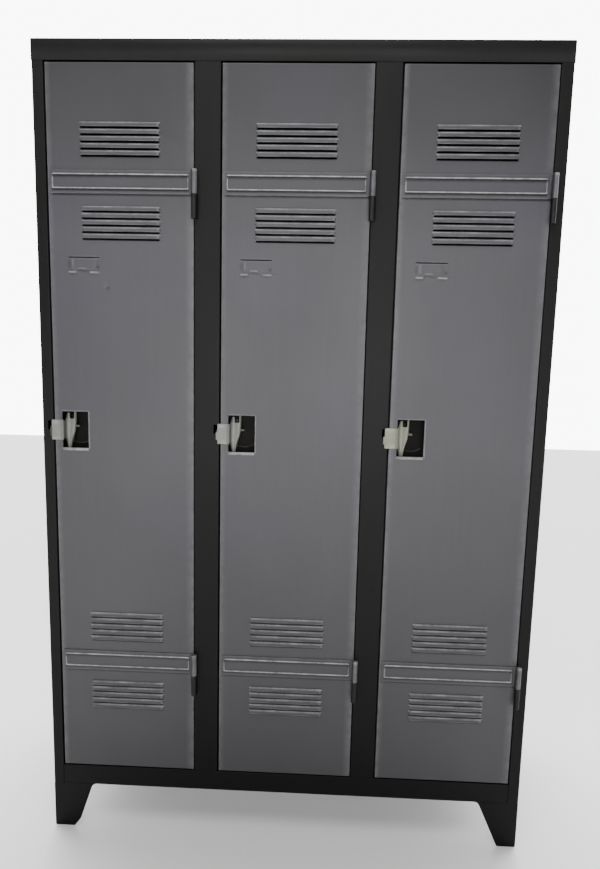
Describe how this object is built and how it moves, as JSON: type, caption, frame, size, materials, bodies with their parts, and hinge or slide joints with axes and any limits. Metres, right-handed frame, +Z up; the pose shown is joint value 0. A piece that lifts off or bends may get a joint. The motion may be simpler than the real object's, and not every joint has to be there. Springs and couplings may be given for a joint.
{
  "type": "locker cabinet",
  "caption": "Sheet steel locker cabinet on folded feet, with louvred hinged doors, gravity latches, hat shelves and coat rails.",
  "frame": {"origin": "on the floor, under the middle of the locker's box", "axes": "+Z up, -Y the doors' side, +X to the right for someone who faces the doors"},
  "size_m": [1.118, 0.5152, 1.8],
  "materials": {
    "charcoal_paint": "satin charcoal paint, slightly worn",
    "slate_paint": "satin slate grey paint over pressed sheet",
    "cream_paint": "aged cream paint, chipped",
    "zinc_steel": "dull zinc-plated steel"
  },
  "bodies": {
    "carcase": {"side_panel_left": "charcoal_paint", "side_panel_right": "charcoal_paint", "mullion_left": "charcoal_paint", "mullion_right": "charcoal_paint", "partition_left": "charcoal_paint", "partition_right": "charcoal_paint", "top_cap": "charcoal_paint", "floor_tray": "charcoal_paint", "back_panel": "charcoal_paint", "bottom_rail": "charcoal_paint", "foot_front_left": "charcoal_paint", "foot_front_right": "charcoal_paint", "foot_rear_left": "charcoal_paint", "foot_rear_right": "charcoal_paint", "hat_shelf_left": "charcoal_paint", "hat_shelf_middle": "charcoal_paint", "hat_shelf_right": "charcoal_paint", "frame_knuckle_left_upper": "charcoal_paint", "frame_knuckle_left_lower": "charcoal_paint", "frame_knuckle_middle_upper": "charcoal_paint", "frame_knuckle_middle_lower": "charcoal_paint", "frame_knuckle_right_upper": "charcoal_paint", "frame_knuckle_right_lower": "charcoal_paint", "hinge_pin_left_upper": "zinc_steel", "hinge_pin_left_lower": "zinc_steel", "hinge_pin_middle_upper": "zinc_steel", "hinge_pin_middle_lower": "zinc_steel", "hinge_pin_right_upper": "zinc_steel", "hinge_pin_right_lower": "zinc_steel", "coat_rail_left": "zinc_steel", "coat_rail_middle": "zinc_steel", "coat_rail_right": "zinc_steel", "coat_hook_left": "zinc_steel", "coat_hook_middle": "zinc_steel", "coat_hook_right": "zinc_steel"},
    "door_left": {"door_panel_left": "slate_paint", "door_stiffener_left": "slate_paint", "hinge_strap_left_upper": "slate_paint", "hinge_strap_left_lower": "slate_paint", "latch_pocket_left": "charcoal_paint", "latch_guide_left": "zinc_steel"},
    "latch_slide_left": {"latch_left": "cream_paint"},
    "door_middle": {"door_panel_middle": "slate_paint", "door_stiffener_middle": "slate_paint", "hinge_strap_middle_upper": "slate_paint", "hinge_strap_middle_lower": "slate_paint", "latch_pocket_middle": "charcoal_paint", "latch_guide_middle": "zinc_steel"},
    "latch_slide_middle": {"latch_middle": "cream_paint"},
    "door_right": {"door_panel_right": "slate_paint", "door_stiffener_right": "slate_paint", "hinge_strap_right_upper": "slate_paint", "hinge_strap_right_lower": "slate_paint", "latch_pocket_right": "charcoal_paint", "latch_guide_right": "zinc_steel"},
    "latch_slide_right": {"latch_right": "cream_paint"}
  },
  "joints": [
    {"name": "door_left_hinge", "type": "hinge", "parent": "carcase", "child": "door_left", "pos_m": [-0.21425, -0.25133, 0.959], "axis": [0, 0, 1], "range_deg": [0, 110]},
    {"name": "latch_left_lift", "type": "slide", "parent": "door_left", "child": "latch_slide_left", "axis": [0, 0, 1], "range_m": [0, 0.011]},
    {"name": "door_middle_hinge", "type": "hinge", "parent": "carcase", "child": "door_middle", "pos_m": [0.15945, -0.25133, 0.959], "axis": [0, 0, 1], "range_deg": [0, 110]},
    {"name": "latch_middle_lift", "type": "slide", "parent": "door_middle", "child": "latch_slide_middle", "axis": [0, 0, 1], "range_m": [0, 0.011]},
    {"name": "door_right_hinge", "type": "hinge", "parent": "carcase", "child": "door_right", "pos_m": [0.53315, -0.25133, 0.959], "axis": [0, 0, 1], "range_deg": [0, 110]},
    {"name": "latch_right_lift", "type": "slide", "parent": "door_right", "child": "latch_slide_right", "axis": [0, 0, 1], "range_m": [0, 0.011]}
  ]
}
